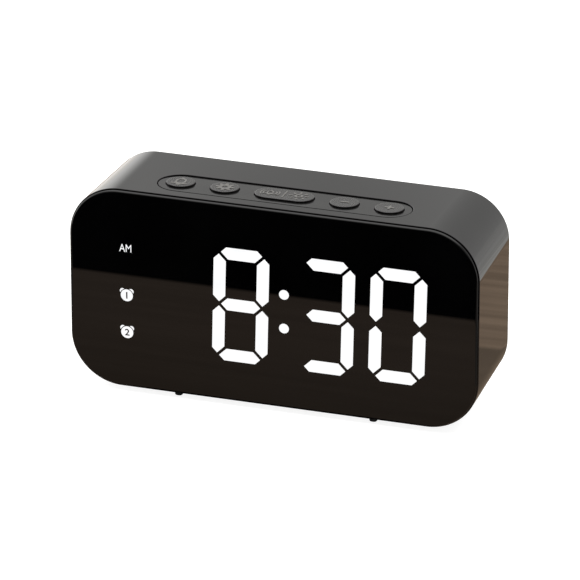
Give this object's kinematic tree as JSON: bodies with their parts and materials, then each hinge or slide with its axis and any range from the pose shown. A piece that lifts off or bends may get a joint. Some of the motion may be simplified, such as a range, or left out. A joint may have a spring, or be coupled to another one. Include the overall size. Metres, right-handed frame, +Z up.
{
  "type": "digital alarm clock",
  "caption": "Bedside alarm clock: a rounded black case with a full-width smoked lens over a seven-segment display, push buttons in a recess on top and small feet.",
  "frame": {"origin": "on the surface the clock stands on, under the middle of its overall box", "axes": "+X to the right as seen from the front, +Y towards the back, +Z up; the display faces -Y"},
  "size_m": [0.16, 0.0452, 0.0821],
  "materials": {
    "case_gloss": "piano-gloss black moulded ABS",
    "lens_smoked": "smoked half-mirror acrylic, polished, opaque when unlit",
    "gasket_foam": "black foam tape",
    "inner_plastic": "moulded black ABS, unpolished",
    "deck_satin": "satin black moulded ABS",
    "button_satin": "soft-satin dark grey-black with paler grey symbols",
    "cover_textured": "fine spark-eroded texture, black",
    "foot_rubber": "matt black rubber",
    "lit_diffuser": "white light diffuser, lit from behind",
    "reflector_white": "white moulded reflector",
    "circuit_board": "green solder mask over glass-fibre board",
    "component_black": "black component moulding",
    "screw_steel": "black-zinc plated steel",
    "nickel_plate": "nickel plated steel",
    "ribbon_cable": "grey insulated ribbon"
  },
  "bodies": {
    "root": {"shell": "case_gloss", "front_lens": "lens_smoked", "lens_gasket": "gasket_foam", "front_frame": "inner_plastic", "button_panel": "deck_satin", "alarm_switch": "nickel_plate", "settings_switch": "nickel_plate", "snooze_switch": "nickel_plate", "minus_switch": "nickel_plate", "plus_switch": "nickel_plate", "key_board": "circuit_board", "rear_cover": "cover_textured", "foot_front_left": "foot_rubber", "foot_front_right": "foot_rubber", "foot_rear_left": "foot_rubber", "foot_rear_right": "foot_rubber", "cover_screw_upper_left": "screw_steel", "display_screw_upper_left": "screw_steel", "cover_screw_upper_right": "screw_steel", "display_screw_upper_right": "screw_steel", "cover_screw_lower_left": "screw_steel", "display_screw_lower_left": "screw_steel", "cover_screw_lower_right": "screw_steel", "display_screw_lower_right": "screw_steel", "key_board_screw_left": "screw_steel", "key_board_screw_right": "screw_steel", "hour_tens_diffuser": "lit_diffuser", "hour_diffuser": "lit_diffuser", "minute_tens_diffuser": "lit_diffuser", "minute_diffuser": "lit_diffuser", "colon_diffuser": "lit_diffuser", "indicator_diffuser": "lit_diffuser", "display_reflector": "reflector_white", "display_board": "circuit_board", "main_board": "circuit_board", "clock_controller": "component_black", "timing_crystal": "nickel_plate", "filter_capacitor": "component_black", "sounder": "component_black", "power_socket": "component_black", "power_socket_pin": "nickel_plate", "cell_holder": "component_black", "coin_cell": "nickel_plate", "cell_clip": "nickel_plate", "display_ribbon": "ribbon_cable", "key_ribbon": "ribbon_cable"},
    "alarm_key": {"alarm_button": "button_satin", "alarm_switch_plunger": "inner_plastic"},
    "settings_key": {"settings_button": "button_satin", "settings_switch_plunger": "inner_plastic"},
    "snooze_key": {"snooze_button": "button_satin", "snooze_switch_plunger": "inner_plastic"},
    "minus_key": {"minus_button": "button_satin", "minus_switch_plunger": "inner_plastic"},
    "plus_key": {"plus_button": "button_satin", "plus_switch_plunger": "inner_plastic"},
    "battery_hatch": {"battery_door": "cover_textured"}
  },
  "joints": [
    {"name": "alarm_press", "type": "slide", "parent": "root", "child": "alarm_key", "axis": [0, -0.0341, -0.9994], "range_m": [0, 0.0006], "stiffness_N_per_m": 2500},
    {"name": "settings_press", "type": "slide", "parent": "root", "child": "settings_key", "axis": [0, -0.0341, -0.9994], "range_m": [0, 0.0006], "stiffness_N_per_m": 2500},
    {"name": "snooze_press", "type": "slide", "parent": "root", "child": "snooze_key", "axis": [0, -0.0341, -0.9994], "range_m": [0, 0.0006], "stiffness_N_per_m": 2500},
    {"name": "minus_press", "type": "slide", "parent": "root", "child": "minus_key", "axis": [0, -0.0341, -0.9994], "range_m": [0, 0.0006], "stiffness_N_per_m": 2500},
    {"name": "plus_press", "type": "slide", "parent": "root", "child": "plus_key", "axis": [0, -0.0341, -0.9994], "range_m": [0, 0.0006], "stiffness_N_per_m": 2500},
    {"name": "battery_door_lift_off", "type": "slide", "parent": "root", "child": "battery_hatch", "axis": [0, 1, 0], "range_m": [0, 0.008]}
  ]
}
